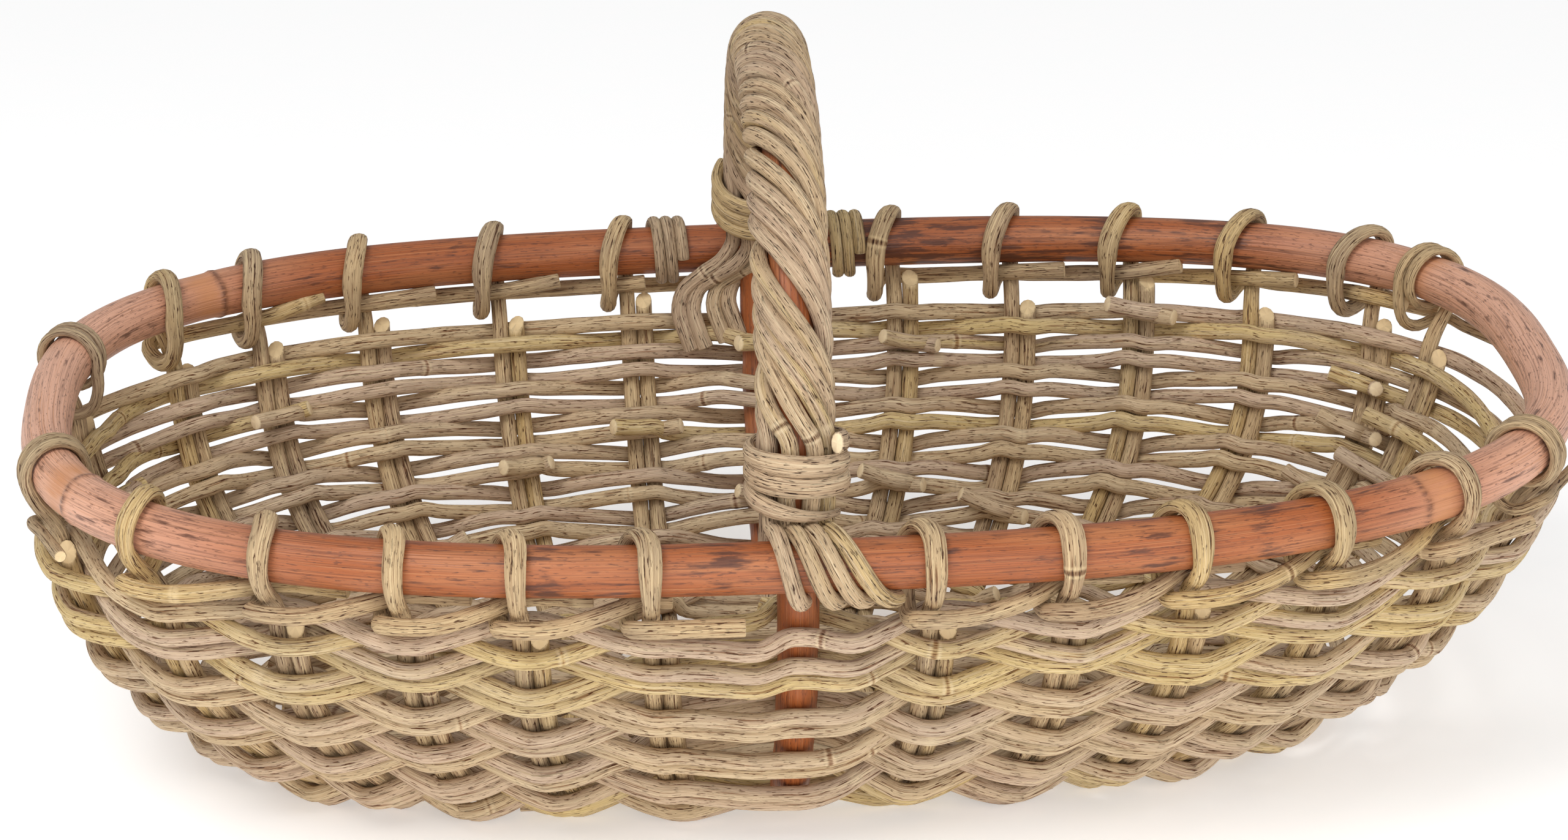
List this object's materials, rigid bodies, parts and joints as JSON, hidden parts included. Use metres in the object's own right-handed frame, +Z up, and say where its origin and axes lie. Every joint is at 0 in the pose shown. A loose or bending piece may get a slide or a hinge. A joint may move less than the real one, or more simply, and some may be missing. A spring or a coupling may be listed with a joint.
{
  "type": "flower basket",
  "caption": "Shallow oval flower basket of open woven rattan on a pole rim, with a central hoop handle wound in twisted rods.",
  "frame": {"origin": "middle of the footprint, on the surface the basket stands on", "axes": "+X along the basket's length, +Y from the front face to the back, +Z up"},
  "size_m": [0.652, 0.414, 0.3176],
  "materials": {
    "stained_pole": "orange-brown stained cane, satin, with raised nodes and fine scratches",
    "wrap_rattan": "bare rattan core, dry matt, tan with brown streaks",
    "weave_rattan": "bare rattan core, dry matt, grey-tan with brown streaks",
    "stake_rattan": "bare rattan core, dry matt, darker brown-tan"
  },
  "bodies": {
    "root": {"rim_hoop": "stained_pole", "handle_bow": "stained_pole", "handle_strand_1": "wrap_rattan", "handle_strand_2": "wrap_rattan", "handle_strand_3": "wrap_rattan", "handle_strand_4": "wrap_rattan", "handle_strand_5": "wrap_rattan", "handle_strand_6": "wrap_rattan", "handle_strand_7": "wrap_rattan", "handle_strand_8": "wrap_rattan", "front_collar": "wrap_rattan", "back_collar": "wrap_rattan", "left_rim_binding": "wrap_rattan", "right_rim_binding": "wrap_rattan", "cross_stakes_01": "stake_rattan", "cross_stakes_02": "stake_rattan", "cross_stakes_03": "stake_rattan", "cross_stakes_04": "stake_rattan", "cross_stakes_05": "stake_rattan", "cross_stakes_06": "stake_rattan", "cross_stakes_07": "stake_rattan", "cross_stakes_08": "stake_rattan", "cross_stakes_09": "stake_rattan", "cross_stakes_10": "stake_rattan", "end_stakes_front_left": "stake_rattan", "end_stakes_back_left": "stake_rattan", "end_stakes_front_right": "stake_rattan", "end_stakes_back_right": "stake_rattan", "wall_course_01": "weave_rattan", "wall_course_02": "weave_rattan", "wall_course_03": "weave_rattan", "wall_course_04": "weave_rattan", "wall_course_05": "weave_rattan", "wall_course_06": "weave_rattan", "wall_course_07": "weave_rattan", "wall_course_08": "weave_rattan", "wall_course_09": "weave_rattan", "wall_course_10": "weave_rattan", "wall_course_11": "weave_rattan", "base_rods_front_01": "weave_rattan", "base_rods_front_02": "weave_rattan", "base_rods_front_03": "weave_rattan", "base_rods_front_04": "weave_rattan", "base_rods_front_05": "weave_rattan", "base_rods_front_06": "weave_rattan", "base_rods_back_01": "weave_rattan", "base_rods_back_02": "weave_rattan", "base_rods_back_03": "weave_rattan", "base_rods_back_04": "weave_rattan", "base_rods_back_05": "weave_rattan", "base_rods_back_06": "weave_rattan"}
  },
  "joints": []
}
